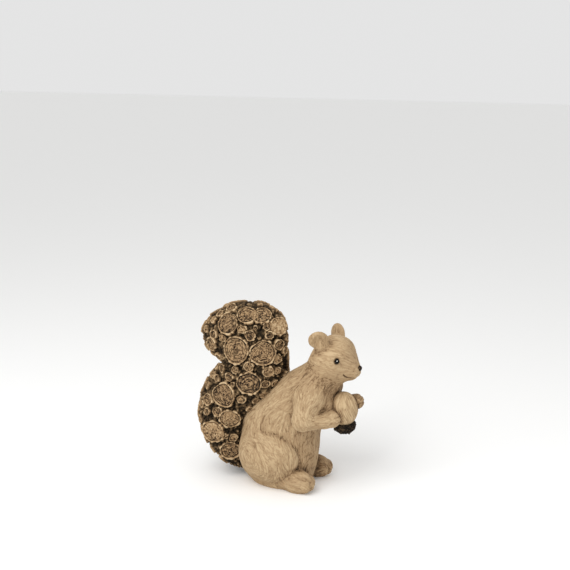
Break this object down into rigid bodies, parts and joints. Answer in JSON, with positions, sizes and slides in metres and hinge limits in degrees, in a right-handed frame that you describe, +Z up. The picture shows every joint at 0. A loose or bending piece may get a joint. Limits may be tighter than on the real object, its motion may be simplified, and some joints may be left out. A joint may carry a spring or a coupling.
{
  "type": "squirrel figurine",
  "caption": "Sitting squirrel ornament with carved fur, holding an acorn cap down, its raised S-shaped tail covered in sawn log slices.",
  "frame": {"origin": "middle of the figure's plan, on the surface that it stands on", "axes": "+X from the tail to the nose, +Y to the figure's left, +Z up"},
  "size_m": [0.1587, 0.078, 0.1627],
  "materials": {
    "fur_resin": "cast resin, carved fur, pale tan paint with a brown wash rubbed into the grooves",
    "acorn_nut": "cast resin, fine lengthwise strokes, pale tan paint with a brown wash",
    "acorn_cap": "rough cast resin painted nearly black",
    "eye_gloss": "gloss black bead",
    "nose_paint": "satin near-black paint",
    "tail_bark": "rough cast resin painted very dark brown",
    "log_slice": "cast resin, growth rings and cracks with a dark wash, pale rubbed rim",
    "branch_slice": "cast resin, growth rings and cracks with a dark wash, pale rubbed rim"
  },
  "bodies": {
    "root": {"acorn_cap": "acorn_cap", "acorn_nut": "acorn_nut", "arm_left": "fur_resin", "arm_right": "fur_resin", "body_casting": "fur_resin", "branch_slices_lower_front": "branch_slice", "branch_slices_lower_rear": "branch_slice", "branch_slices_lower_right": "branch_slice", "branch_slices_middle_front": "branch_slice", "branch_slices_middle_left": "branch_slice", "branch_slices_middle_rear": "branch_slice", "branch_slices_middle_right": "branch_slice", "branch_slices_upper_front": "branch_slice", "branch_slices_upper_left": "branch_slice", "branch_slices_upper_rear": "branch_slice", "branch_slices_upper_right": "branch_slice", "ear_left": "fur_resin", "ear_right": "fur_resin", "eye_left": "eye_gloss", "eye_right": "eye_gloss", "foot_left": "fur_resin", "foot_right": "fur_resin", "head_casting": "fur_resin", "log_slice_01": "log_slice", "log_slice_02": "log_slice", "log_slice_03": "log_slice", "log_slice_04": "log_slice", "log_slice_05": "log_slice", "log_slice_06": "log_slice", "log_slice_07": "log_slice", "log_slice_08": "log_slice", "log_slice_09": "log_slice", "log_slice_10": "log_slice", "log_slice_11": "log_slice", "log_slice_12": "log_slice", "log_slice_13": "log_slice", "log_slice_14": "log_slice", "log_slice_15": "log_slice", "log_slice_16": "log_slice", "log_slice_17": "log_slice", "log_slice_18": "log_slice", "log_slice_19": "log_slice", "log_slice_20": "log_slice", "log_slice_21": "log_slice", "log_slice_22": "log_slice", "nose": "nose_paint", "tail_casting": "tail_bark"}
  },
  "joints": []
}
